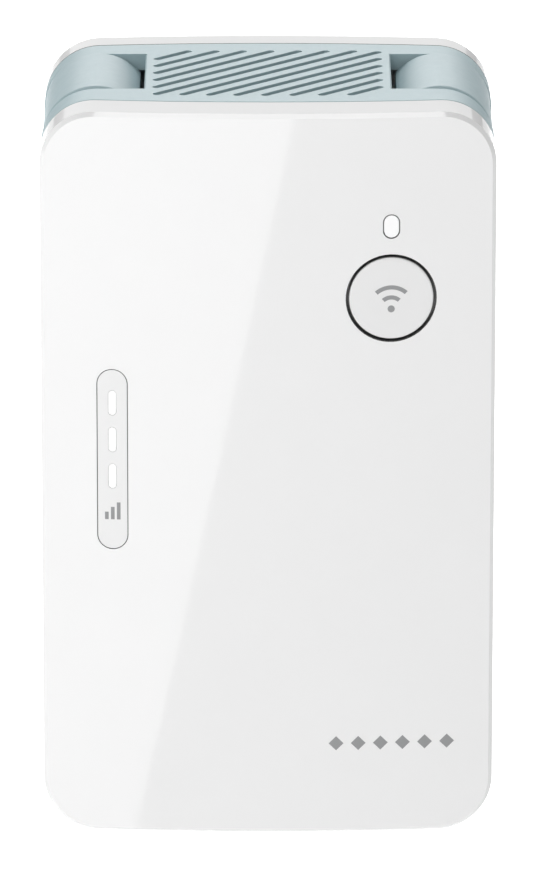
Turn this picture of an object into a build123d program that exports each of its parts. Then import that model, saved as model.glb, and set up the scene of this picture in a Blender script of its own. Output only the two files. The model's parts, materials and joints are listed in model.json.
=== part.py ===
from build123d import *
import math
import os

# A plug-in wifi range extender with two flip-up antennas, as it comes apart on a bench.
# All sizes are in mm. The origin is the middle of the plug's seating face, +Y points into
# the wall socket, -Y to the front and +Z up.

# ---- Driving dimensions -----------------------------------------------------------------
width = 70.0
height = 116.0
bottom_z = -62.0
corner_radius = 8.5
wall = 2.0
crown_radius = 260.0            # front, back and both seams bow outwards on this radius
front_y = -66.1                 # deepest point of each crowned surface, on the middle line
front_seam_y = -58.2
back_seam_y = -22.0
back_y = -16.0
rim_inset = 0.62                # bright bevel round the front face
rim_depth = 0.8
seam_chamfer = 0.15
groove_width = 0.2              # shadow gap between each cover and the frame
groove_depth = 0.5
back_edge_radius = 1.3

# Antenna pockets, hinge and arms; x values are distances from the middle plane.
pocket_inner_x = 19.1
pocket_front_y = -50.1
pocket_back_y = -28.7
pocket_depth = 13.4
pocket_wall = 1.6
channel_inner_x = 30.7
channel_end_z = -57.4
hinge_x = 27.2
hinge_drop = 5.2                # hinge axis below the top of the case
arm_gap = 0.4                   # between an arm's edge and its pocket
arm_inner_x = 30.9
arm_outer_x = 35.3
arm_tip_z = -57.0
arm_skin = 1.2
head_end_x = 19.95
bush_radius = 2.6
pin_radius = 2.0
running_fit = 0.05
cable_radius = 0.5

# Front controls
button_x, button_z = 18.9, 24.8
button_radius = 6.5
button_gap = 0.5
status_x, status_z = 18.9, 36.2
status_size = (2.25, 3.5)
status_gap = 0.2
window_x, window_z = -24.0, -1.2
window_size = (4.56, 28.8)
signal_light_z = (7.9, 2.0, -3.9)
signal_light_size = (1.28, 4.0)
hairline = 0.13

# Boards: planes of their two faces, y
board_front_y, board_back_y = -54.8, -53.2
power_front_y, power_back_y = -25.6, -24.0
board_screw_points = [(-27.0, -50.0), (27.0, -50.0), (-16.0, 33.5), (8.0, 33.5)]
power_screw_points = [(x, z) for x in (-21.5, 21.5) for z in (-42.5, 14.5)]
case_screw_points = [(-24.0, -53.5), (24.0, -53.5), (-14.8, 44.0), (14.8, 44.0)]

# Ethernet socket and reset button, at the bottom edge
jack_x, jack_width = -12.0, 16.0
jack_back_y = -39.8
jack_low_z, jack_high_z = -61.2, -39.9
reset_x, reset_y = 4.0, -51.2

# Plug
plug_radius = 18.3
plug_flange_radius = 21.0
pin_spacing = 19.0
plug_pin_radius = 2.4
plug_pin_length = 19.0

# ---- Worked out from the above ------------------------------------------------------------
top_z = bottom_z + height
mid_z = (top_z + bottom_z) / 2
hinge_z = top_z - hinge_drop
pocket_floor_z = top_z - pocket_depth
arm_front_y = pocket_front_y + arm_gap
arm_back_y = pocket_back_y - arm_gap
inner_x = width / 2 - wall
SIDES = (("left", -1), ("right", 1))
FRONT, WALL = -1, 1

os.makedirs("parts", exist_ok=True)


def save(piece, name):
    """Label a finished piece and write it as its own file."""
    piece.label = name
    export_step(piece, f"parts/{name}.step")


def bow(x):
    """How far a crowned surface has fallen back at distance x from the middle."""
    return crown_radius - math.sqrt(crown_radius**2 - x**2)


def facing_front(y):
    """Plane across the case at depth y: sketch axes are X and Z, extruding goes forwards."""
    return Plane(origin=(0, y, 0), x_dir=(1, 0, 0), z_dir=(0, -1, 0))


def facing_up(z):
    """Level plane at height z: sketch axes are X and Y, extruding goes up."""
    return Plane.XY.offset(z)


def case_outline(inset):
    """Rounded outline of the case seen from the front, moved inwards by inset."""
    with BuildSketch(facing_front(0)) as outline:
        with Locations((0, mid_z)):
            RectangleRounded(width - 2 * inset, height - 2 * inset, corner_radius - inset)
    return outline.sketch


def disc_outline(x, z, radius):
    with BuildSketch(facing_front(0)) as outline:
        with Locations((x, z)):
            Circle(radius)
    return outline.sketch


def pill_outline(x, z, size, grow=0.0):
    """Upright pill of (width, height), grown all round."""
    with BuildSketch(facing_front(0)) as outline:
        with Locations((x, z)):
            SlotOverall(size[1] + 2 * grow, size[0] + 2 * grow, rotation=90)
    return outline.sketch


def box_outline(x, z, size, corner):
    with BuildSketch(facing_front(0)) as outline:
        with Locations((x, z)):
            RectangleRounded(size[0], size[1], corner)
    return outline.sketch


def crowned_solid(outline, front, back):
    """Outline carried from one crowned surface to another.

    front and back are (y on the middle line, FRONT or WALL: the way that surface bulges).
    """
    reach = width / 2 + 1
    front_edge_y = front[0] - front[1] * bow(reach)
    back_edge_y = back[0] - back[1] * bow(reach)
    with BuildPart() as solid:
        extrude(outline, amount=80)
        with BuildSketch(facing_up(bottom_z - 1)):
            with BuildLine():
                ThreePointArc((-reach, front_edge_y), (0, front[0]), (reach, front_edge_y))
                Line((reach, front_edge_y), (reach, back_edge_y))
                ThreePointArc((reach, back_edge_y), (0, back[0]), (-reach, back_edge_y))
                Line((-reach, back_edge_y), (-reach, front_edge_y))
            make_face()
        extrude(amount=height + 2, mode=Mode.INTERSECT)
    return solid.part


def seam_groove(seam_y, bulge):
    """Ring to cut from a cover's edge where it meets the frame."""
    limits = sorted((seam_y + bulge * groove_width, seam_y - bulge))
    with BuildPart() as groove:
        add(crowned_solid(case_outline(-0.5), (limits[0], bulge), (limits[1], bulge)))
        add(crowned_solid(case_outline(groove_depth), (front_y, FRONT), (back_y, WALL)), mode=Mode.SUBTRACT)
    return groove.part


def block(x, y, z, mode=Mode.ADD):
    """Box given by its (low, high) limits along each axis."""
    with BuildSketch(facing_up(z[0])) as base:
        with Locations(((x[0] + x[1]) / 2, (y[0] + y[1]) / 2)):
            Rectangle(x[1] - x[0], y[1] - y[0])
    return extrude(base.sketch, amount=z[1] - z[0], mode=mode)


def rods(points, radius, from_y, to_y, mode=Mode.ADD):
    """Round rods along Y at each (x, z) point; to_y is the front end."""
    with BuildSketch(facing_front(from_y)) as ends:
        with Locations(*points):
            Circle(radius)
    return extrude(ends.sketch, amount=from_y - to_y, mode=mode)


# ---- Snap hooks of the front cover ---------------------------------------------------------
hook_reach_y = (-61.0, -53.6)
hook_barb_y = (-54.6, -53.6)
hook_root_y = (-61.0, -58.6)
hook_width = 8.0
hook_planes = [
    Plane(origin=(side * inner_x, 0, z), x_dir=(0, 1, 0), z_dir=(side, 0, 0))
    for side in (-1, 1)
    for z in (18.0, -34.0)
]
hook_planes.append(Plane(origin=(0, 0, top_z - wall), x_dir=(0, 1, 0), z_dir=(0, 0, 1)))
hook_planes.append(Plane(origin=(16, 0, bottom_z + wall), x_dir=(0, 1, 0), z_dir=(0, 0, -1)))


def hook_block(plane, y_limits, start, thickness, grow=0.0, mode=Mode.ADD):
    """Part of a hook: start is how far from the wall's inner face it begins, outwards."""
    with BuildSketch(plane.offset(start)) as base:
        with Locations(((y_limits[0] + y_limits[1]) / 2, 0)):
            Rectangle(y_limits[1] - y_limits[0] + 2 * grow, hook_width + 2 * grow)
    return extrude(base.sketch, amount=thickness, mode=mode)


# ---- Front cover ---------------------------------------------------------------------------
front_blank = crowned_solid(case_outline(0), (front_y, FRONT), (front_seam_y, FRONT))
front_hollow = crowned_solid(case_outline(wall), (front_y + wall, FRONT), (back_y, WALL))
button_hole = disc_outline(button_x, button_z, button_radius + button_gap)
status_hole = pill_outline(status_x, status_z, status_size, status_gap)
window_hole = pill_outline(window_x, window_z, window_size, hairline)
button_guide_radius = 8.6
board_boss_radius = 2.6
board_pilot_radius = 0.82
boss_root_y = -64.0             # inside the cover's wall everywhere

with BuildPart() as front_cover:
    add(front_blank)
    front_face = faces().sort_by(Axis.Y)[0]
    chamfer(front_face.edges(), length=rim_inset, length2=rim_depth, reference=front_face)
    add(seam_groove(front_seam_y, FRONT), mode=Mode.SUBTRACT)
    add(front_hollow, mode=Mode.SUBTRACT)
    rods(board_screw_points, board_boss_radius, board_front_y, boss_root_y)
    rods(board_screw_points, board_pilot_radius, board_front_y, -61.5, mode=Mode.SUBTRACT)
    with BuildSketch(facing_front(-60.6)):
        with Locations((button_x, button_z)):
            Circle(button_guide_radius)
            Circle(button_guide_radius - 0.8, mode=Mode.SUBTRACT)
    extrude(amount=-60.6 - boss_root_y)
    for hook_plane in hook_planes:
        hook_block(hook_plane, hook_reach_y, -1.4, 1.2)
        hook_block(hook_plane, hook_root_y, -0.3, 0.4)
        hook_block(hook_plane, hook_barb_y, -0.3, 0.6)
    extrude(button_hole, amount=80, mode=Mode.SUBTRACT)
    extrude(status_hole, amount=80, mode=Mode.SUBTRACT)
    extrude(window_hole, amount=80, mode=Mode.SUBTRACT)
save(front_cover.part, "front_cover")


# ---- Middle frame: the coloured band with pockets, grille and sockets ---------------------
def pocket_volume(side, margin, mode=Mode.ADD):
    """One antenna pocket with its side channel, enlarged by margin."""
    inner = side * (pocket_inner_x - margin)
    channel = side * (channel_inner_x - margin)
    outside = side * (width / 2 + 3)
    with BuildSketch(facing_front(pocket_back_y + margin)) as profile:
        with BuildLine():
            Polyline(
                (inner, top_z + 3),
                (inner, pocket_floor_z - margin),
                (channel, pocket_floor_z - margin),
                (channel, channel_end_z - margin),
                (outside, channel_end_z - margin),
                (outside, top_z + 3),
                close=True,
            )
        make_face()
    reach = pocket_back_y - pocket_front_y + 2 * margin
    return extrude(profile.sketch, amount=reach, mode=mode)


def diagonal_slots(centre, half_size, steps, pitch, slot_width):
    """Parallel slots at 45 degrees, clipped to a rectangle whose front edge follows the crown."""
    half_x = half_size[0] - slot_width / 2
    half_y = half_size[1] - slot_width / 2
    for step in range(-steps, steps + 1):
        rise = step * pitch * math.sqrt(2)
        front_x = -half_y - rise
        low_x = max(-half_x, front_x + bow(min(abs(front_x), half_x)))
        high_x = min(half_x, half_y - rise)
        middle_x = (low_x + high_x) / 2
        with Locations((centre[0] + middle_x, centre[1] + middle_x + rise)):
            SlotCenterToCenter((high_x - low_x) * math.sqrt(2), slot_width, rotation=45)


frame_blank = crowned_solid(case_outline(0), (front_seam_y, FRONT), (back_seam_y, WALL))
frame_hollow = crowned_solid(case_outline(wall), (front_y, FRONT), (back_y, WALL))
grille_centre = (0.0, -40.5)
grille_half_size = (17.85, 14.0)
vent_centre = (16.5, -45.0)
vent_half_size = (7.5, 7.0)
slot_pitch, slot_width = 3.05, 1.3
pillar_radius = 3.2
pillar_back_y, pillar_front_y = -23.1, -38.0
case_pilot_radius = 1.02
pocket_edge_chamfer = 0.2
stop_slot_x = (pocket_inner_x, 23.2)
stop_slot_z = (top_z - 9.0, top_z - 2.6)

with BuildPart() as pocket_boxes:
    for side_name, side in SIDES:
        pocket_volume(side, pocket_wall)
    add(frame_blank, mode=Mode.INTERSECT)

with BuildPart() as middle_frame:
    add(frame_blank)
    chamfer(faces().sort_by(Axis.Y)[0].edges(), length=seam_chamfer)
    chamfer(faces().sort_by(Axis.Y)[-1].edges(), length=seam_chamfer)
    add(frame_hollow, mode=Mode.SUBTRACT)
    add(pocket_boxes.part)
    rods(case_screw_points, pillar_radius, pillar_back_y, pillar_front_y)
    for x, z in case_screw_points[:2]:
        block((x - 1, x + 1), (pillar_front_y, pillar_back_y - 1), (bottom_z + 1, z))
    for side_name, side in SIDES:
        pocket_volume(side, 0, mode=Mode.SUBTRACT)
        hinge_point = (side * hinge_x, hinge_z)
        rods([hinge_point], bush_radius, pocket_front_y + 2, pocket_front_y - 3, mode=Mode.SUBTRACT)
        rods([hinge_point], pin_radius, pocket_back_y + 3, pocket_back_y - 2, mode=Mode.SUBTRACT)
        slot_x = sorted(side * x for x in stop_slot_x)
        block(slot_x, (pocket_back_y - 1, pocket_back_y + 2), stop_slot_z, mode=Mode.SUBTRACT)
    rods(case_screw_points, case_pilot_radius, pillar_back_y, pillar_front_y + 2, mode=Mode.SUBTRACT)
    for hook_plane in hook_planes:
        hook_block(hook_plane, hook_barb_y, -0.1, 0.8, grow=0.3, mode=Mode.SUBTRACT)
    top_edges = edges().filter_by(Axis.Y).filter_by_position(Axis.Z, top_z - 0.01, top_z + 0.01)
    pocket_edges = top_edges.filter_by(lambda edge: abs(abs(edge.center().X) - pocket_inner_x) < 0.01)
    chamfer(pocket_edges, length=pocket_edge_chamfer)
    with BuildSketch(facing_up(top_z + 1)):
        diagonal_slots(grille_centre, grille_half_size, 6, slot_pitch, slot_width)
    extrude(amount=-wall - 2, mode=Mode.SUBTRACT)
    with BuildSketch(facing_up(bottom_z - 1)):
        diagonal_slots(vent_centre, vent_half_size, 2, slot_pitch, slot_width)
        with Locations((reset_x, reset_y)):
            Circle(0.8)
        with Locations((jack_x, (board_back_y + jack_back_y) / 2)):
            Rectangle(jack_width + 0.4, jack_back_y - board_back_y + 0.4)
    extrude(amount=wall + 2, mode=Mode.SUBTRACT)
save(middle_frame.part, "middle_frame")

# ---- Back cover, rating label and screws ---------------------------------------------------
label_size = (38.0, 18.0)
label_z = -36.0
label_recess = 0.3
label_outline = box_outline(0, label_z, label_size, 1.5)
label_pocket = box_outline(0, label_z, (label_size[0] + 0.6, label_size[1] + 0.6), 1.8)
back_blank = crowned_solid(case_outline(0), (back_seam_y, WALL), (back_y, WALL))
back_hollow = crowned_solid(case_outline(wall), (front_y, FRONT), (back_y - wall, WALL))
label_hollow = crowned_solid(label_pocket, (back_y - label_recess, WALL), (back_y + 3, WALL))
post_root_y = -18.6             # inside the back wall at every post
screw_seat_y = -19.6
screw_head_radius = 2.1
power_post_radius = 2.6
case_post_radius = 3.5

with BuildPart() as back_cover:
    add(back_blank)
    fillet(faces().sort_by(Axis.Y)[-1].edges(), radius=back_edge_radius)
    add(seam_groove(back_seam_y, WALL), mode=Mode.SUBTRACT)
    add(back_hollow, mode=Mode.SUBTRACT)
    add(label_hollow, mode=Mode.SUBTRACT)
    rods(power_screw_points, power_post_radius, post_root_y, power_back_y)
    rods(case_screw_points, case_post_radius, post_root_y, pillar_back_y + 0.1)
    rods([(0, 0)], plug_flange_radius + 0.2, -18.0, -24.0, mode=Mode.SUBTRACT)
    rods([(0, 0)], plug_radius + 0.1, -10.0, -24.0, mode=Mode.SUBTRACT)
    rods(power_screw_points, board_pilot_radius, -19.8, -26.0, mode=Mode.SUBTRACT)
    rods(case_screw_points, screw_head_radius + 0.2, -10.0, screw_seat_y, mode=Mode.SUBTRACT)
    rods(case_screw_points, case_pilot_radius + 0.15, -10.0, -26.0, mode=Mode.SUBTRACT)
save(back_cover.part, "back_cover")

rating_label = crowned_solid(label_outline, (back_y - label_recess, WALL), (back_y - 0.1, WALL))
save(rating_label, "rating_label")


def screw_set(points, seat_y, head_radius, head_height, shank_radius, length, heads_to):
    """Cross-head screws with their heads' undersides at seat_y; heads_to is FRONT or WALL."""
    head_top_y = seat_y + heads_to * head_height
    cross_floor_y = seat_y + heads_to * head_height * 0.4
    with BuildPart() as screws:
        rods(points, shank_radius, seat_y, seat_y - heads_to * length)
        rods(points, head_radius, seat_y, head_top_y)
        rim = edges().filter_by(GeomType.CIRCLE).group_by(Axis.Y)[-1 if heads_to == WALL else 0]
        fillet(rim, radius=head_height * 0.35)
        with BuildSketch(facing_front(cross_floor_y)):
            with Locations(*points):
                Rectangle(head_radius * 1.1, head_radius * 0.28)
                Rectangle(head_radius * 0.28, head_radius * 1.1)
        extrude(amount=-heads_to * head_height, mode=Mode.SUBTRACT)
    return screws.part


save(screw_set(case_screw_points, screw_seat_y, screw_head_radius, 1.5, 1.0, 14, WALL), "case_screws")
save(screw_set(board_screw_points, board_back_y, 1.8, 1.2, 0.8, 7.8, WALL), "board_screws")
save(screw_set(power_screw_points, power_front_y, 1.8, 1.2, 0.8, 5.4, FRONT), "power_board_screws")

# ---- Plug: housing, two round pins and the sockets they meet -------------------------------
plug_flange_y = (-20.0, -18.0)
plug_inside_radius = 13.0
pin_support_radius = 4.2
plug_cap = 3.0                  # thickness of the seating face
earth_notch = (6.2, 3.4)
side_groove = (5.0, 2.2)
pin_points = [(-pin_spacing / 2, 0), (pin_spacing / 2, 0)]
pin_shank_radius = 2.0          # the part of a pin that is moulded into the housing
pin_tail_radius = 1.5
pin_relief = 0.05               # shallow ring in the seating face round each pin
pin_relief_depth = 0.3
pin_shoulder_y = -18.5
pin_end_y = -22.4

with BuildPart() as plug_housing:
    rods([(0, 0)], plug_radius, 0, plug_flange_y[0])
    fillet(edges().group_by(Axis.Y)[-1], radius=1.0)
    rods([(0, 0)], plug_flange_radius, plug_flange_y[1], plug_flange_y[0])
    with BuildSketch(facing_front(-plug_cap)):
        Circle(plug_inside_radius)
        with Locations(*pin_points):
            Circle(pin_support_radius, mode=Mode.SUBTRACT)
    extrude(amount=plug_flange_radius, mode=Mode.SUBTRACT)
    with BuildSketch(facing_front(1)):
        with Locations((0, plug_radius), (0, -plug_radius)):
            Rectangle(earth_notch[0], 2 * earth_notch[1])
        with Locations((plug_radius, 0), (-plug_radius, 0)):
            Rectangle(2 * side_groove[1], side_groove[0])
    extrude(amount=-back_y, mode=Mode.SUBTRACT)
    rods(pin_points, pin_shank_radius, 1, pin_end_y, mode=Mode.SUBTRACT)
    rods(pin_points, plug_pin_radius + pin_relief, 1, -pin_relief_depth, mode=Mode.SUBTRACT)
save(plug_housing.part, "plug_housing")

for (side_name, side), pin_point in zip(SIDES, pin_points):
    with BuildPart() as plug_pin:
        rods([pin_point], plug_pin_radius, plug_pin_length, 0)
        fillet(edges().group_by(Axis.Y)[-1], radius=1.6)
        rods([pin_point], pin_shank_radius, 0, pin_shoulder_y)
        rods([pin_point], pin_tail_radius, pin_shoulder_y, pin_end_y)
    save(plug_pin.part, f"plug_pin_{side_name}")

with BuildPart() as mains_contacts:
    rods(pin_points, 2.3, -20.4, power_back_y)
    rods(pin_points, pin_tail_radius, -20.0, pin_end_y, mode=Mode.SUBTRACT)
save(mains_contacts.part, "mains_contacts")

# ---- Pairing button, lights and signal window ---------------------------------------------
button_cap = crowned_solid(
    disc_outline(button_x, button_z, button_radius), (front_y, FRONT), (front_y + 3.6, FRONT)
)
button_point = [(button_x, button_z)]
button_flange_y = (-61.8, -62.6)
button_flange_radius = 7.7
button_hollow_y = -64.0         # the cap is a thin shell with a stem behind it
button_stem_radius = 2.0
switch_tip_y = -60.0
switch_body_y = -58.3
plunger_radius = 1.7
plunger_end_y = -57.2

with BuildPart() as pairing_button:
    add(button_cap)
    fillet(faces().sort_by(Axis.Y)[0].edges(), radius=0.3)
    rods(button_point, button_flange_radius, button_flange_y[0], button_flange_y[1])
    rods(button_point, button_radius - 1, button_flange_y[0], button_hollow_y, mode=Mode.SUBTRACT)
    rods(button_point, button_stem_radius, switch_tip_y, button_hollow_y - 0.2)
save(pairing_button.part, "pairing_button")

with BuildPart() as pairing_switch_body:
    block((button_x - 3, button_x + 3), (switch_body_y, board_front_y), (button_z - 3, button_z + 3))
    rods(button_point, plunger_radius + 0.1, -56.4, -59, mode=Mode.SUBTRACT)
save(pairing_switch_body.part, "pairing_switch_body")

with BuildPart() as pairing_switch_plunger:
    rods(button_point, plunger_radius, plunger_end_y, switch_tip_y)
save(pairing_switch_plunger.part, "pairing_switch_plunger")

light_sink = 0.05               # lens faces lie this far below the cover's face
with BuildPart() as status_light_pipe:
    add(crowned_solid(
        pill_outline(status_x, status_z, status_size), (front_y + light_sink, FRONT), (-57.4, FRONT)
    ))
    with BuildSketch(facing_front(-62.2)):
        with Locations((status_x, status_z)):
            SlotOverall(4.7, 3.9, rotation=90)
    extrude(amount=0.8)
save(status_light_pipe.part, "status_light_pipe")

window_flange = (front_y + wall + 0.02, front_y + wall + 0.8)
light_points = [(window_x, z) for z in signal_light_z]
with BuildPart() as signal_window:
    add(crowned_solid(
        pill_outline(window_x, window_z, window_size),
        (front_y + light_sink, FRONT),
        (window_flange[1], FRONT),
    ))
    add(crowned_solid(
        pill_outline(window_x, window_z, window_size, 1.1),
        (window_flange[0], FRONT),
        (window_flange[1], FRONT),
    ))
    for z in signal_light_z:
        extrude(pill_outline(window_x, z, signal_light_size), amount=80, mode=Mode.SUBTRACT)
save(signal_window.part, "signal_window")

guide_plate = (window_flange[1] + 0.05, window_flange[1] + 1.0)
guide_leg_size = (1.8, 3.6)
guide_end_y = -56.2
with BuildPart() as signal_light_guide:
    add(crowned_solid(
        box_outline(window_x, signal_light_z[1], (5.0, 18.0), 1.0),
        (guide_plate[0], FRONT),
        (guide_plate[1], FRONT),
    ))
    for z in signal_light_z:
        add(crowned_solid(
            pill_outline(window_x, z, signal_light_size, -0.04),
            (front_y + light_sink, FRONT),
            (guide_plate[1], FRONT),
        ))
    with BuildSketch(facing_front(guide_end_y)):
        with Locations(*light_points):
            SlotOverall(guide_leg_size[1], guide_leg_size[0], rotation=90)
    extrude(amount=5.6)
save(signal_light_guide.part, "signal_light_guide")

with BuildPart() as light_shield:
    with BuildSketch(facing_front(board_front_y)):
        with Locations((window_x, signal_light_z[1])):
            RectangleRounded(6.4, 19.0, 0.8)
        with Locations(*light_points):
            Rectangle(3.4, 4.9, mode=Mode.SUBTRACT)
    extrude(amount=5.8)
save(light_shield.part, "light_shield")

with BuildPart() as status_leds:
    with BuildSketch(facing_front(board_front_y)):
        with Locations((status_x, status_z), *light_points):
            Rectangle(1.4, 2.0)
    extrude(amount=0.8)
save(status_leds.part, "status_leds")

# ---- Antenna arms, hinges and coaxial leads ------------------------------------------------
head_top_x = 26.6               # crest of the rounded head
head_rise = 0.3                 # crest above the top of the case
shoulder_x, shoulder_drop = 34.8, 8.3
head_end_drop = 2.8
hub_front_y, hub_back_y = -46.6, -32.6
bush_end_y = -47.4
pin_inner_y = -32.4
cover_lip = 1.3                 # rim of the outer shell around the inner plate
base_top_z = 40.2
base_thickness = 1.15
base_gap = 0.05


def arm_profile(side, plane_y):
    """Outline of a lowered arm seen from the front: long flat leg and rounded hinge head."""
    head_radius = hinge_x - head_end_x
    diagonal = head_radius * math.sqrt(0.5)
    shoulder = (side * shoulder_x, top_z - shoulder_drop)
    crest = (side * head_top_x, top_z + head_rise)
    end_top = (side * head_end_x, top_z - head_end_drop)
    end_low = (side * head_end_x, hinge_z)
    heel = (side * hinge_x, hinge_z - head_radius)
    with BuildSketch(facing_front(plane_y)) as profile:
        with BuildLine():
            Line((side * arm_outer_x, arm_tip_z), shoulder)
            ThreePointArc(shoulder, (side * 32.35, top_z - 2.15), crest)
            ThreePointArc(crest, (side * 23.2, top_z - 0.36), end_top)
            Line(end_top, end_low)
            ThreePointArc(end_low, (side * (hinge_x - diagonal), hinge_z - diagonal), heel)
            Line(heel, (side * arm_inner_x, hinge_z - head_radius))
            Line((side * arm_inner_x, hinge_z - head_radius), (side * arm_inner_x, arm_tip_z))
            Line((side * arm_inner_x, arm_tip_z), (side * arm_outer_x, arm_tip_z))
        make_face()
    return profile.sketch


for side_name, side in SIDES:
    hinge_point = (side * hinge_x, hinge_z)
    plate_x = sorted((side * arm_inner_x, side * (arm_inner_x + base_thickness)))
    opening_x = sorted((side * (arm_inner_x - 1), side * (arm_inner_x + arm_skin + 0.05)))
    leg_y = (arm_front_y + cover_lip, arm_back_y - cover_lip)
    leg_z = (arm_tip_z + cover_lip, base_top_z)

    with BuildPart() as antenna_hollow:
        inside = offset(arm_profile(side, arm_back_y - arm_skin), amount=-arm_skin, mode=Mode.PRIVATE)
        extrude(inside, amount=arm_back_y - arm_front_y - 2 * arm_skin)
        rods([hinge_point], 4.4, hub_front_y, arm_front_y, mode=Mode.SUBTRACT)
        rods([hinge_point], 3.6, arm_back_y, hub_back_y, mode=Mode.SUBTRACT)

    with BuildPart() as antenna_cover:
        extrude(arm_profile(side, arm_back_y), amount=arm_back_y - arm_front_y)
        ends = faces().filter_by(Axis.Y)
        fillet(ends.edges(), radius=0.5)
        add(antenna_hollow.part, mode=Mode.SUBTRACT)
        block(opening_x, leg_y, leg_z, mode=Mode.SUBTRACT)
        rods([hinge_point], bush_radius + running_fit, -45, -51, mode=Mode.SUBTRACT)
        rods([hinge_point], pin_radius + running_fit, -28, -34, mode=Mode.SUBTRACT)
    save(antenna_cover.part, f"antenna_cover_{side_name}")

    with BuildPart() as antenna_base:
        plate_y = (leg_y[0] + base_gap, leg_y[1] - base_gap)
        block(plate_x, plate_y, (leg_z[0] + base_gap, leg_z[1] - base_gap))
    save(antenna_base.part, f"antenna_base_{side_name}")

    with BuildPart() as antenna_element:
        block(sorted((side * 32.75, side * 33.35)), (-45.4, -33.4), (-40.0, 26.0))
    save(antenna_element.part, f"antenna_element_{side_name}")

    with BuildPart() as antenna_cable:
        with BuildLine():
            FilletPolyline(
                (side * hinge_x, -46.9, hinge_z),
                (side * hinge_x, -41.0, hinge_z),
                (side * 33.0, -39.4, 44.4),
                (side * 33.0, -39.4, 26.05),
                radius=[2.9, 5.8],
            )
        with BuildSketch(Plane(origin=(side * hinge_x, -46.9, hinge_z), z_dir=(0, 1, 0))):
            Circle(cable_radius)
        sweep()
    save(antenna_cable.part, f"antenna_cable_{side_name}")

    with BuildPart() as coax_lead:
        with BuildLine():
            FilletPolyline(
                (side * hinge_x, -47.0, hinge_z),
                (side * hinge_x, -56.2, hinge_z),
                (side * hinge_x, -56.2, 35.9),
                radius=4.1,
            )
        with BuildSketch(Plane(origin=(side * hinge_x, -47.0, hinge_z), z_dir=(0, -1, 0))):
            Circle(cable_radius)
        sweep()
    save(coax_lead.part, f"coax_lead_{side_name}")

    with BuildPart() as pivot_bush:
        rods([hinge_point], bush_radius, bush_end_y, -51.7)
        rods([hinge_point], 3.1, -51.7, -52.7)
        rods([hinge_point], 0.9, -45, -55, mode=Mode.SUBTRACT)
    save(pivot_bush.part, f"pivot_bush_{side_name}")

    with BuildPart() as pivot_pin:
        rods([hinge_point], pin_radius, -27.1, pin_inner_y)
        rods([hinge_point], 3.0, -26.1, -27.1)
    save(pivot_pin.part, f"pivot_pin_{side_name}")

    with BuildPart() as friction_washer:
        rods([hinge_point], 4.0, pocket_back_y - 0.05, arm_back_y + 0.05)
        rods([hinge_point], pin_radius + 0.1, -28, -30, mode=Mode.SUBTRACT)
    save(friction_washer.part, f"friction_washer_{side_name}")

# ---- Main board and what is on it -----------------------------------------------------------
board_x = (-31.0, 31.0)
board_z = (-58.0, 38.5)
board_size = (board_x[1] - board_x[0], board_z[1] - board_z[0])
board_middle_z = (board_z[0] + board_z[1]) / 2
processor_x, processor_z = 8.0, -14.0
processor_y = (board_back_y, board_back_y + 1.3)
pad_y = (processor_y[1], processor_y[1] + 0.8)
heatsink_x = (processor_x - 16, processor_x + 16)
heatsink_z = (processor_z - 15, processor_z + 15)
heatsink_base_y = (pad_y[1], pad_y[1] + 1.6)
fin_end_y = -43.0
fin_count = 8
fin_thickness = 1.2

with BuildPart() as main_board:
    with BuildSketch(facing_front(board_back_y)):
        with Locations((0, board_middle_z)):
            RectangleRounded(board_size[0], board_size[1], 2.0)
        with Locations(*board_screw_points):
            Circle(1.0, mode=Mode.SUBTRACT)
    extrude(amount=board_back_y - board_front_y)
save(main_board.part, "main_board")

shield_thickness = 0.3
shield_y = (board_back_y, board_back_y + 2.6)
shield_x = (2.5, 27.0)
shield_z = (4.0, 30.0)
with BuildPart() as rf_shields:
    for side_name, side in SIDES:
        outer_x = sorted(side * x for x in shield_x)
        block(outer_x, shield_y, shield_z)
        block(
            (outer_x[0] + shield_thickness, outer_x[1] - shield_thickness),
            (shield_y[0] - 1, shield_y[1] - shield_thickness),
            (shield_z[0] + shield_thickness, shield_z[1] - shield_thickness),
            mode=Mode.SUBTRACT,
        )
save(rf_shields.part, "rf_shields")

with BuildPart() as radio_chips:
    for x in (-15.0, 15.0):
        block((x - 4.5, x + 4.5), (board_back_y, board_back_y + 0.9), (12.5, 21.5))
save(radio_chips.part, "radio_chips")

with BuildPart() as processor:
    block((processor_x - 7.5, processor_x + 7.5), processor_y, (processor_z - 7.5, processor_z + 7.5))
save(processor.part, "processor")

with BuildPart() as thermal_pad:
    block((processor_x - 7, processor_x + 7), pad_y, (processor_z - 7, processor_z + 7))
save(thermal_pad.part, "thermal_pad")

with BuildPart() as heatsink:
    block(heatsink_x, heatsink_base_y, heatsink_z)
    fin_pitch = (heatsink_x[1] - heatsink_x[0] - fin_thickness) / (fin_count - 1)
    for fin in range(fin_count):
        fin_x = heatsink_x[0] + fin * fin_pitch
        block((fin_x, fin_x + fin_thickness), (heatsink_base_y[0], fin_end_y), heatsink_z)
save(heatsink.part, "heatsink")

with BuildPart() as memory_chip:
    block((-21.0, -11.0), (board_back_y, board_back_y + 1.1), (-21.0, -7.0))
save(memory_chip.part, "memory_chip")

with BuildPart() as ethernet_transformer:
    block((-20.0, -4.0), (board_back_y, board_back_y + 5.0), (-38.5, -29.6))
save(ethernet_transformer.part, "ethernet_transformer")

with BuildPart() as coax_connectors:
    with BuildSketch(facing_front(board_front_y)):
        with Locations((-hinge_x, 34.5), (hinge_x, 34.5)):
            Circle(1.35)
    extrude(amount=1.9)
save(coax_connectors.part, "coax_connectors")

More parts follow.
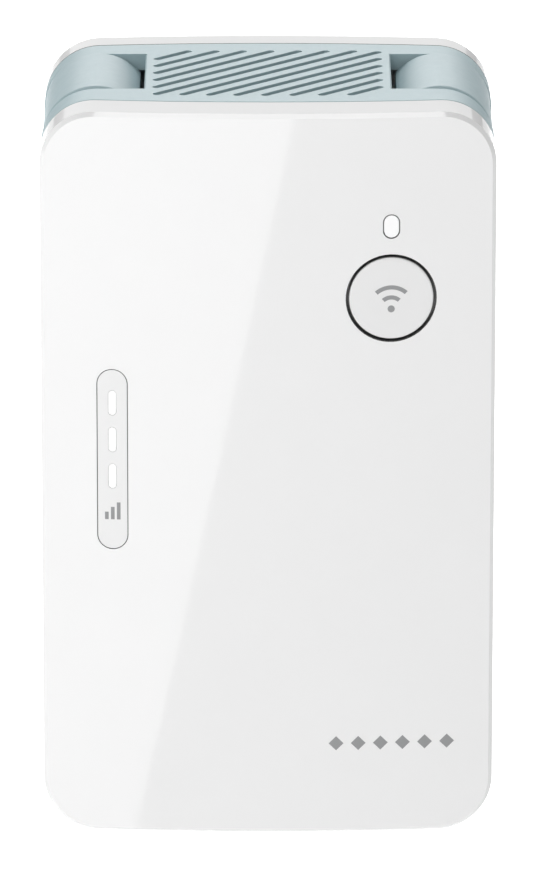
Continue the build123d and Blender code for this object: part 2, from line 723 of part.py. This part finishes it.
port_x = (jack_x - 5.95, jack_x + 5.95)
port_y = (-51.4, -43.0)
port_back_z = -46.0
with BuildPart() as ethernet_jack:
    block((jack_x - jack_width / 2, jack_x + jack_width / 2), (board_back_y, jack_back_y),
          (jack_low_z, jack_high_z))
    block(port_x, port_y, (jack_low_z - 1, port_back_z), mode=Mode.SUBTRACT)
    block((jack_x - 3.1, jack_x + 3.1), (port_y[1] - 1, -41.2), (jack_low_z - 1, -50), mode=Mode.SUBTRACT)
save(ethernet_jack.part, "ethernet_jack")

contact_pitch = 1.02
contact_width = 0.45
with BuildPart() as ethernet_contacts:
    for contact in range(8):
        contact_x = jack_x + (contact - 3.5) * contact_pitch - contact_width / 2
        with BuildSketch(Plane.YZ.offset(contact_x)):
            with BuildLine():
                Polyline(
                    (port_y[0], -59.6),
                    (port_y[0], -58.6),
                    (port_y[0] + 1.3, -48.0),
                    (port_y[0] + 1.3, port_back_z),
                    (port_y[0] + 1.65, port_back_z),
                    (port_y[0] + 1.65, -48.2),
                    (port_y[0] + 0.3, -59.6),
                    close=True,
                )
            make_face()
        extrude(amount=contact_width)
save(ethernet_contacts.part, "ethernet_contacts")

reset_radius = 0.9
with BuildPart() as reset_switch_body:
    block((reset_x - 3, reset_x + 3), (board_back_y, board_back_y + 4), (-57.4, -53.9))
    with BuildSketch(facing_up(-58)):
        with Locations((reset_x, reset_y)):
            Circle(reset_radius + 0.1)
    extrude(amount=3.1, mode=Mode.SUBTRACT)
save(reset_switch_body.part, "reset_switch_body")

with BuildPart() as reset_switch_plunger:
    with BuildSketch(facing_up(-58.9)):
        with Locations((reset_x, reset_y)):
            Circle(reset_radius)
    extrude(amount=3.4)
save(reset_switch_plunger.part, "reset_switch_plunger")

# ---- Power board and what is on it ----------------------------------------------------------
link_x, link_z = 20.0, -38.0
link_points = [(link_x + (i - 1.5) * 2.54, link_z) for i in range(4)]
link_socket_y = -44.7

with BuildPart() as board_link_socket:
    block((link_x - 5.2, link_x + 5.2), (board_back_y, link_socket_y), (link_z - 2, link_z + 2))
save(board_link_socket.part, "board_link_socket")

with BuildPart() as board_link_pins:
    rods(link_points, 0.35, power_front_y, link_socket_y)
    block((link_x - 5.2, link_x + 5.2), (power_front_y - 2.5, power_front_y), (link_z - 1.3, link_z + 1.3))
save(board_link_pins.part, "board_link_pins")

with BuildPart() as power_board:
    with BuildSketch(facing_front(power_back_y)):
        with Locations((0, -14.0)):
            RectangleRounded(50.0, 64.0, 1.5)
        with Locations(*power_screw_points):
            Circle(1.0, mode=Mode.SUBTRACT)
    extrude(amount=power_back_y - power_front_y)
save(power_board.part, "power_board")

with BuildPart() as insulation_sheet:
    block((-28.6, 28.6), (-41.9, -41.5), (-34.5, 35.0))
save(insulation_sheet.part, "insulation_sheet")

core_y = (-39.6, power_front_y)
leg_y = (-34.4, -30.8)
window_y = ((-36.8, leg_y[0]), (leg_y[1], -28.4))
with BuildPart() as transformer_core:
    block((-19.0, 3.0), core_y, (-19.0, -9.0))
    for gap_y in window_y:
        block((-15.5, -0.5), gap_y, (-20.0, -8.0), mode=Mode.SUBTRACT)
save(transformer_core.part, "transformer_core")

with BuildPart() as transformer_winding:
    block((-15.3, -0.7), (window_y[0][0] + 0.2, window_y[1][1] - 0.2), (-22.0, -6.0))
    fillet(edges().filter_by(Axis.X), radius=1.5)
    block((-16.0, 0.0), (leg_y[0] - 0.2, leg_y[1] + 0.2), (-19.2, -8.8), mode=Mode.SUBTRACT)
save(transformer_winding.part, "transformer_winding")

with BuildPart() as electrolytic_capacitors:
    rods([(16.0, -10.0), (16.0, -21.0)], 4.6, power_front_y, -39.4)
    rods([(-6.0, -32.0)], 3.6, power_front_y, -38.0)
    fillet(edges().filter_by(GeomType.CIRCLE).group_by(Axis.Y)[0], radius=0.6)
save(electrolytic_capacitors.part, "electrolytic_capacitors")

with BuildPart() as suppression_capacitor:
    block((1.5, 17.5), (-37.0, power_front_y), (7.0, 14.0))
    fillet(edges(), radius=0.5)
save(suppression_capacitor.part, "suppression_capacitor")

with BuildPart() as choke:
    rods([(-12.0, 7.0)], 5.4, power_front_y, -35.0)
    rods([(-12.0, 7.0)], 7.0, -27.2, -33.4, mode=Mode.SUBTRACT)
    rods([(-12.0, 7.0)], 4.4, -26.0, -34.6)
save(choke.part, "choke")

with BuildPart() as fuse:
    with BuildSketch(Plane.YZ.offset(3.0)):
        with Locations((power_front_y - 2.7, 1.8)):
            Circle(2.6)
    extrude(amount=12.0)
    fillet(edges(), radius=0.4)
save(fuse.part, "fuse")

with BuildPart() as bridge_rectifier:
    block((2.0, 10.0), (power_front_y - 2.6, power_front_y), (-35.0, -28.5))
    chamfer(edges().filter_by(Axis.Z), length=0.4)
save(bridge_rectifier.part, "bridge_rectifier")
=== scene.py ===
import json
import math

import bmesh
import bpy
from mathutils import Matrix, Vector


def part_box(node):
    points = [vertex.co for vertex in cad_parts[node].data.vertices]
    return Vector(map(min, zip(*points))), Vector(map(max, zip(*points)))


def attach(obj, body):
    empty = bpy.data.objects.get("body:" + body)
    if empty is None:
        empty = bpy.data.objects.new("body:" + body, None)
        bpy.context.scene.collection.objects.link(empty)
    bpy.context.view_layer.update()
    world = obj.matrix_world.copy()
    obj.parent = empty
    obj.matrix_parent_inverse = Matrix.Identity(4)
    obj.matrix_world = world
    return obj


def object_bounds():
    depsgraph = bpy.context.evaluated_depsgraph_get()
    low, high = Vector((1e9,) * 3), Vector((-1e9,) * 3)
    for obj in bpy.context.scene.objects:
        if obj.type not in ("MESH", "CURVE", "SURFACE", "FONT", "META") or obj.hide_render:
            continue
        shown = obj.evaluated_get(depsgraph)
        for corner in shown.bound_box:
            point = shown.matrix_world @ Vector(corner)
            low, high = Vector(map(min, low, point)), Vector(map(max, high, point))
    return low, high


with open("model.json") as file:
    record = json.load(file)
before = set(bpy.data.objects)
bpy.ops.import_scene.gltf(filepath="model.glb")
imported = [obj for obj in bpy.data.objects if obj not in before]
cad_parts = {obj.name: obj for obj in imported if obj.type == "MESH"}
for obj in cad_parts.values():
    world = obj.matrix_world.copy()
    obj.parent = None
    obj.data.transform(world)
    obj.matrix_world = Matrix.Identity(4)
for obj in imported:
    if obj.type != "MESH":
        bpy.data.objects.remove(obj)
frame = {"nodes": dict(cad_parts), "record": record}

cad_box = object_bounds()
nodes = frame["nodes"]
mm = 0.001

# ---- Camera -----------------------------------------------------------------------------------
camera_elevation = math.radians(16.96)
camera_distance = 1343.8 * mm
camera_aim = Vector((0, -41 * mm, -4 * mm))
camera_lens = 354.0
camera_tilt = math.radians(-0.024)

sight = Vector((0, math.cos(camera_elevation), -math.sin(camera_elevation)))
camera_data = bpy.data.cameras.new("camera")
camera_data.lens = camera_lens
camera_data.sensor_width = 36.0
camera_data.clip_start = 0.05
camera_data.clip_end = 60.0
camera = bpy.data.objects.new("camera", camera_data)
bpy.context.scene.collection.objects.link(camera)
camera.location = camera_aim - sight * camera_distance
camera.rotation_euler = (math.pi / 2 - camera_elevation + camera_tilt, 0, 0)
bpy.context.scene.camera = camera


# ---- Materials --------------------------------------------------------------------------------
class Shader:
    """A material with one Principled shader and helpers that add procedural detail to it."""

    def __init__(self, name, colour, roughness, metallic=0.0, **values):
        self.material = bpy.data.materials.new(name)
        self.material.use_nodes = True
        self.tree = self.material.node_tree
        self.shader = self.tree.nodes["Principled BSDF"]
        self.place = self.node("ShaderNodeTexCoord").outputs["Object"]
        self.shader.inputs["Base Color"].default_value = (*colour, 1)
        self.shader.inputs["Roughness"].default_value = roughness
        self.shader.inputs["Metallic"].default_value = metallic
        for key, value in values.items():
            self.shader.inputs[key.replace("_", " ")].default_value = value
        self.colour = colour
        self.roughness = roughness

    def node(self, kind, **settings):
        made = self.tree.nodes.new(kind)
        for key, value in settings.items():
            setattr(made, key, value)
        return made

    def noise(self, size, detail, rough=0.55):
        """Noise with features of about the given size, from 0 to 1."""
        made = self.node("ShaderNodeTexNoise")
        made.inputs["Scale"].default_value = 1 / size
        made.inputs["Detail"].default_value = detail
        made.inputs["Roughness"].default_value = rough
        self.tree.links.new(self.place, made.inputs["Vector"])
        return made.outputs["Fac"]

    def spread(self, value, low, high, from_low=0.3, from_high=0.7):
        """Map value from its own range onto low to high; the defaults suit a noise."""
        made = self.node("ShaderNodeMapRange")
        made.inputs["From Min"].default_value = from_low
        made.inputs["From Max"].default_value = from_high
        made.inputs["To Min"].default_value = low
        made.inputs["To Max"].default_value = high
        self.tree.links.new(value, made.inputs["Value"])
        return made.outputs["Result"]

    def tint(self, value, change):
        """Vary the base colour by the given share to either side of the shader's own colour."""
        mix = self.node("ShaderNodeMix", data_type="RGBA")
        mix.inputs["A"].default_value = (*[c * (1 - change) for c in self.colour], 1)
        mix.inputs["B"].default_value = (*[min(1, c * (1 + change)) for c in self.colour], 1)
        self.tree.links.new(self.spread(value, 0, 1), mix.inputs["Factor"])
        self.tree.links.new(mix.outputs["Result"], self.shader.inputs["Base Color"])

    def uneven_gloss(self, value, change):
        """Vary the roughness by the given amount to either side of the shader's own."""
        uneven = self.spread(value, self.roughness - change, self.roughness + change)
        self.tree.links.new(uneven, self.shader.inputs["Roughness"])

    def paint_gap_shade(self, reach, darkest):
        """Paint shade into the tinted colour where other surfaces close in within reach, as in a gap."""
        shelter = self.node("ShaderNodeAmbientOcclusion", samples=8)
        shelter.inputs["Distance"].default_value = reach
        openness = self.spread(shelter.outputs["AO"], darkest, 1, from_low=0.25, from_high=0.85)
        mix = self.node("ShaderNodeMix", data_type="RGBA", blend_type="MULTIPLY")
        mix.inputs["Factor"].default_value = 1
        colour = self.shader.inputs["Base Color"].links[0].from_socket
        self.tree.links.new(colour, mix.inputs["A"])
        self.tree.links.new(openness, mix.inputs["B"])
        self.tree.links.new(mix.outputs["Result"], self.shader.inputs["Base Color"])

    def bump(self, value, depth):
        made = self.node("ShaderNodeBump")
        made.inputs["Strength"].default_value = 1.0
        made.inputs["Distance"].default_value = depth
        self.tree.links.new(value, made.inputs["Height"])
        self.tree.links.new(made.outputs["Normal"], self.shader.inputs["Normal"])


def glossy_plastic(name, colour, roughness):
    """Polished plastic, almost even, with painted shade darkening its seams and gaps."""
    made = Shader(name, colour, roughness, IOR=1.49)
    made.tint(made.noise(size=14 * mm, detail=4), change=0.004)
    made.uneven_gloss(made.noise(size=5 * mm, detail=5), change=0.01)
    made.bump(made.noise(size=2.2 * mm, detail=2), depth=0.0022 * mm)
    # painted shade: the colour is darkened by occlusion in seams, gaps and the ring round the button
    made.paint_gap_shade(reach=1.5 * mm, darkest=0.15)
    return made.material


def textured_plastic(name, colour, roughness, grain=0.22 * mm, depth=0.016 * mm):
    """Satin or matt plastic, film or ink with a fine grain of the given size and depth."""
    made = Shader(name, colour, roughness, IOR=1.47)
    made.tint(made.noise(size=9 * mm, detail=4), change=0.02)
    made.uneven_gloss(made.noise(size=1.5 * mm, detail=4), change=0.05)
    made.bump(made.noise(size=grain, detail=3, rough=0.7), depth)
    return made.material


def metal(name, colour, roughness):
    made = Shader(name, colour, roughness, metallic=1.0)
    made.tint(made.noise(size=3 * mm, detail=4), change=0.05)
    made.uneven_gloss(made.noise(size=1.0 * mm, detail=5), change=0.07)
    made.bump(made.noise(size=0.4 * mm, detail=4), depth=0.004 * mm)
    return made.material


def circuit_board(name, colour):
    made = Shader(name, colour, roughness=0.35, IOR=1.5)
    made.tint(made.noise(size=1.6 * mm, detail=1), change=0.35)
    made.uneven_gloss(made.noise(size=2 * mm, detail=3), change=0.06)
    made.bump(made.noise(size=0.5 * mm, detail=2), depth=0.01 * mm)
    return made.material


# One finish for each material slot of the record.
finishes = {
    "cover_white": glossy_plastic("white_gloss", (0.935, 0.935, 0.935), 0.035),
    "band_blue": textured_plastic("band_blue_satin", (0.39, 0.51, 0.54), 0.42),
    "arm_blue": textured_plastic("arm_blue_satin", (0.405, 0.522, 0.553), 0.40),
    "button_white": glossy_plastic("button_white_gloss", (0.89, 0.89, 0.89), 0.16),
    "window_white": glossy_plastic("window_white_gloss", (0.87, 0.87, 0.87), 0.14),
    "light_lens": glossy_plastic("frosted_lens", (0.95, 0.95, 0.95), 0.35),
    "plug_white": textured_plastic("plug_white_satin", (0.80, 0.80, 0.79), 0.38),
    "pin_nickel": metal("pin_nickel_bright", (0.72, 0.70, 0.67), 0.16),
    "label_silver": textured_plastic("label_film", (0.62, 0.63, 0.64), 0.42, 0.6 * mm, 0.004 * mm),
    "screw_steel": metal("screw_zinc", (0.52, 0.53, 0.55), 0.3),
    "hinge_black": textured_plastic("hinge_black_moulded", (0.03, 0.03, 0.03), 0.5),
    "hinge_steel": metal("hinge_steel_ground", (0.56, 0.56, 0.57), 0.28),
    "cable_black": textured_plastic("cable_jacket", (0.02, 0.02, 0.02), 0.45, 0.5 * mm, 0.01 * mm),
    "antenna_board": circuit_board("antenna_board_green", (0.06, 0.17, 0.07)),
    "board_green": circuit_board("board_green_mask", (0.02, 0.14, 0.06)),
    "chip_black": textured_plastic("chip_epoxy", (0.02, 0.02, 0.022), 0.5, 0.15 * mm, 0.01 * mm),
    "plunger_dark": textured_plastic("plunger_dark_moulded", (0.05, 0.05, 0.05), 0.45),
    "shield_tin": metal("shield_tin_plate", (0.62, 0.62, 0.61), 0.32),
    "heatsink_alloy": metal("heatsink_extruded", (0.66, 0.67, 0.69), 0.38),
    "pad_grey": textured_plastic("thermal_pad_soft", (0.30, 0.32, 0.35), 0.7),
    "jack_black": textured_plastic("jack_black_moulded", (0.028, 0.028, 0.03), 0.42),
    "contact_gold": metal("contact_gold_plate", (0.78, 0.56, 0.22), 0.24),
    "led_lens": glossy_plastic("led_epoxy", (0.80, 0.76, 0.52), 0.2),
    "shield_white": textured_plastic("light_shield_white", (0.78, 0.78, 0.78), 0.5),
    "insulation_film": textured_plastic("insulation_film_cream", (0.66, 0.62, 0.50), 0.45),
    "ferrite_grey": textured_plastic("ferrite_sintered", (0.045, 0.045, 0.05), 0.6, 0.3 * mm, 0.03 * mm),
    "winding_tape": textured_plastic("winding_tape_yellow", (0.62, 0.44, 0.05), 0.4),
    "capacitor_sleeve": glossy_plastic("capacitor_sleeve_dark", (0.03, 0.035, 0.08), 0.3),
    "fuse_body": glossy_plastic("fuse_ceramic", (0.72, 0.72, 0.68), 0.25),
    "print_grey": textured_plastic("printed_ink", (0.33, 0.335, 0.34), 0.5, 0.3 * mm, 0.002 * mm),
}
lens_glow = 0.12
lit_lens = finishes["light_lens"].node_tree.nodes["Principled BSDF"]
lit_lens.inputs["Emission Color"].default_value = (1, 1, 1, 1)
lit_lens.inputs["Emission Strength"].default_value = lens_glow

for subpart in frame["record"]["subparts"]:
    mesh = nodes[subpart["node"]].data
    mesh.materials.clear()
    mesh.materials.append(finishes[subpart["material_slot"]])


# ---- Printed marks ------------------------------------------------------------------------------
crown_radius = 260 * mm
ink_height = 0.02 * mm      # above the face
ink_root = 0.02 * mm        # below the face

window_recess = 0.05 * mm
bars_foot_z = -10.9 * mm
bars_offset = -1.2 * mm     # first bar, from the window's middle line
bar_pitch = 0.92 * mm
bar_width = 0.56 * mm
bar_heights = (1.2 * mm, 2.0 * mm, 2.75 * mm)

waves_drop = 1.7 * mm       # from the button's middle down to the dot's middle
waves_dot_radius = 0.55 * mm
wave_radii = ((1.5 * mm, 2.15 * mm), (3.1 * mm, 3.75 * mm))
wave_half_angle = math.radians(42)

diamond_count = 6
first_diamond_x = 10.6 * mm
diamond_pitch = 3.45 * mm
diamond_z = -47.2 * mm
diamond_half = 1.15 * mm


def crown_y(face_y, x):
    """Depth of a crowned front face at distance x from the middle."""
    return face_y + crown_radius - math.sqrt(crown_radius**2 - x**2)


def print_mark(name, outlines, face_y, body):
    """Thin raised ink: each outline is a ring of (x, z) points, counter-clockwise from the front."""
    ink = bmesh.new()
    for outline in outlines:
        top = [ink.verts.new((x, crown_y(face_y, x) - ink_height, z)) for x, z in outline]
        root = [ink.verts.new((x, crown_y(face_y, x) + ink_root, z)) for x, z in outline]
        ink.faces.new(top)
        ink.faces.new(root[::-1])
        for i, corner in enumerate(top):
            ink.faces.new((top[i - 1], root[i - 1], root[i], corner))
    bmesh.ops.recalc_face_normals(ink, faces=ink.faces)
    mesh = bpy.data.meshes.new(name)
    ink.to_mesh(mesh)
    ink.free()
    mesh.materials.append(finishes["print_grey"])
    piece = bpy.data.objects.new(name, mesh)
    bpy.context.scene.collection.objects.link(piece)
    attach(piece, body)


def bar(x, z, width, height):
    return [(x, z), (x + width, z), (x + width, z + height), (x, z + height)]


def arc(centre, radius, angles):
    return [(centre[0] + radius * math.cos(a), centre[1] + radius * math.sin(a)) for a in angles]


def arc_band(centre, inner, outer, half_angle, steps=20):
    """Part of a ring above its centre, reaching half_angle to each side of straight up."""
    start = math.pi / 2 - half_angle
    angles = [start + 2 * half_angle * i / steps for i in range(steps + 1)]
    return arc(centre, outer, angles) + arc(centre, inner, angles)[::-1]


def dot(centre, radius, steps=28):
    return arc(centre, radius, [2 * math.pi * i / steps for i in range(steps)])


def diamond(x, z, half):
    return [(x - half, z), (x, z - half), (x + half, z), (x, z + half)]


face_front_y = cad_box[0].y
window_low, window_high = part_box("signal_window")
window_middle_x = (window_low.x + window_high.x) / 2
first_bar_x = window_middle_x + bars_offset
signal_bars = [
    bar(first_bar_x + bar_pitch * i, bars_foot_z, bar_width, bar_height)
    for i, bar_height in enumerate(bar_heights)
]
print_mark("signal_bars_print", signal_bars, face_front_y + window_recess, "housing")

button_low, button_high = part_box("pairing_button")
button_x = (button_low.x + button_high.x) / 2
button_z = (button_low.z + button_high.z) / 2
waves_foot = (button_x, button_z - waves_drop)
waves = [dot(waves_foot, waves_dot_radius)]
for inner, outer in wave_radii:
    waves.append(arc_band(waves_foot, inner, outer, wave_half_angle))
print_mark("button_waves_print", waves, face_front_y, "pairing_button")

front_row = [
    diamond(first_diamond_x + diamond_pitch * i, diamond_z, diamond_half)
    for i in range(diamond_count)
]
print_mark("front_row_print", front_row, face_front_y, "housing")


# ---- Floor and light ----------------------------------------------------------------------------
floor_drop = 700 * mm
floor_size = 30.0
floor_glow = (0.08, 0.5)        # emission of the floor at the two radii below
floor_glow_radius = (1.2, 2.2)


def make_floor():
    """A pale floor that brightens away from the object, between the two glow radii."""
    made = Shader("floor_white", (0.96, 0.96, 0.96), roughness=0.7)
    made.tint(made.noise(size=0.4, detail=3), change=0.01)
    made.uneven_gloss(made.noise(size=0.05, detail=4), change=0.05)
    made.shader.inputs["Emission Color"].default_value = (1, 1, 1, 1)
    away = made.node("ShaderNodeVectorMath", operation="LENGTH")
    made.tree.links.new(made.place, away.inputs[0])
    glow = made.spread(away.outputs["Value"], *floor_glow, *floor_glow_radius)
    made.tree.links.new(glow, made.shader.inputs["Emission Strength"])
    plate = bmesh.new()
    bmesh.ops.create_grid(plate, x_segments=8, y_segments=8, size=floor_size / 2)
    mesh = bpy.data.meshes.new("floor")
    plate.to_mesh(mesh)
    plate.free()
    floor = bpy.data.objects.new("floor", mesh)
    floor.location = (0, 0, cad_box[0].z - floor_drop)
    mesh.materials.append(made.material)
    bpy.context.scene.collection.objects.link(floor)


def soft_light(name, place, size, radiance, aim, roll=0.0):
    """A rectangular softbox at place, facing aim and rolled about its own axis by roll degrees."""
    data = bpy.data.lights.new(name, "AREA")
    data.shape = "RECTANGLE"
    data.size, data.size_y = size
    data.energy = radiance * math.pi * size[0] * size[1]
    light = bpy.data.objects.new(name, data)
    light.location = place
    facing = (Vector(aim) - Vector(place)).to_track_quat("-Z", "Y")
    light.rotation_euler = facing.to_euler()
    light.rotation_euler.rotate_axis("Z", math.radians(roll))
    light.visible_camera = False
    bpy.context.scene.collection.objects.link(light)


def make_world(strength, fade_start, right_share):
    """Even surroundings that fall off from fade_start, in the direction +X, to right_share."""
    world = bpy.data.worlds.new("studio")
    world.use_nodes = True
    tree = world.node_tree
    background = tree.nodes["Background"]
    background.inputs["Strength"].default_value = strength
    place = tree.nodes.new("ShaderNodeTexCoord")
    split = tree.nodes.new("ShaderNodeSeparateXYZ")
    fade = tree.nodes.new("ShaderNodeMapRange")
    fade.interpolation_type = "SMOOTHSTEP"
    fade.inputs["From Min"].default_value = fade_start
    fade.inputs["From Max"].default_value = 1.0
    fade.inputs["To Min"].default_value = 1.0
    fade.inputs["To Max"].default_value = right_share
    tree.links.new(place.outputs["Generated"], split.inputs["Vector"])
    tree.links.new(split.outputs["X"], fade.inputs["Value"])
    tree.links.new(fade.outputs["Result"], background.inputs["Color"])
    bpy.context.scene.world = world


card_distance = 0.8
card_y = cad_box[0].y - card_distance

make_floor()
make_world(strength=0.25, fade_start=0.25, right_share=0.6)
# The front: the main light, a small one that lifts the top left corner of the face, and the
# card whose edge is the slanting reflection down the face.
soft_light("front_high", (-0.25, -1.5, 1.0), (0.9, 0.7), 3.3, camera_aim)
soft_light("near_left", (-0.24, -0.27, 0.17), (0.1, 0.1), 4.0, (-0.03, -0.066, 0.03))
soft_light("gloss_card", (-0.18, card_y, -0.123), (0.5, 0.35), 1.8, (-0.18, 0, -0.123), 45)
# The top and the sides.
soft_light("overhead", (0.0, -0.08, 1.1), (0.5, 0.07), 5.4, (0, -0.08, 0))
soft_light("left_strip", (-1.0, 0.22, -0.33), (0.10, 0.5), 8.5, camera_aim)
soft_light("left_fill", (-1.3, -0.5, 0.3), (0.8, 0.8), 1.2, camera_aim)
soft_light("right_fill", (1.3, -0.5, 0.3), (0.8, 0.8), 1.1, camera_aim)
# The floor behind the object, and a card behind it for the gloss of the top.
soft_light("background", (0.0, 2.6, 1.8), (2.6, 2.0), 6.8, (0, 2.6, 0))
soft_light("back_card", (0, 2.2, 0.67), (3.0, 0.9), 0.55, camera_aim)

bpy.context.scene.view_settings.view_transform = "Standard"
bpy.context.scene.view_settings.look = "None"
